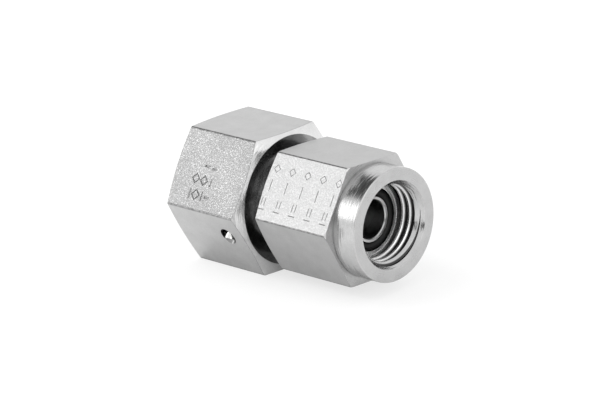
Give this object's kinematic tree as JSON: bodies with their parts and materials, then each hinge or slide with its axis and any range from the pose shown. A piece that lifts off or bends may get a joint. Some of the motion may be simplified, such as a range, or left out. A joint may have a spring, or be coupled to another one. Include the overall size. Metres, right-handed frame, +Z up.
{
  "type": "gauge adapter",
  "caption": "Straight hydraulic gauge adapter: a hexagon swivel nut held by a wire on a cone nose, joined to a hexagon body with a round collar and a female gauge port.",
  "frame": {"origin": "middle of the whole length, straight below the common axis, on the floor that the nut's lowest flat lies on", "axes": "+X along the common axis, from the open end of the nut to the gauge port; +Z up, away from the nut's lowest flat"},
  "size_m": [0.0374, 0.0254, 0.022],
  "materials": {
    "body_steel": "satin zinc plating, turned on the collar and the port face",
    "nut_steel": "satin zinc plating with a coarse forged flat",
    "wire_steel": "bright drawn wire",
    "ring_rubber": "smooth black rubber"
  },
  "bodies": {
    "nut": {"swivel_nut": "nut_steel", "retaining_wire": "wire_steel"},
    "fitting": {"adapter_body": "body_steel", "cone_o_ring": "ring_rubber", "port_o_ring": "ring_rubber"}
  },
  "joints": [
    {"name": "nut_swivel", "type": "hinge", "parent": "nut", "child": "fitting", "pos_m": [0, 0, 0.011], "axis": [1, 0, 0], "continuous": true}
  ]
}
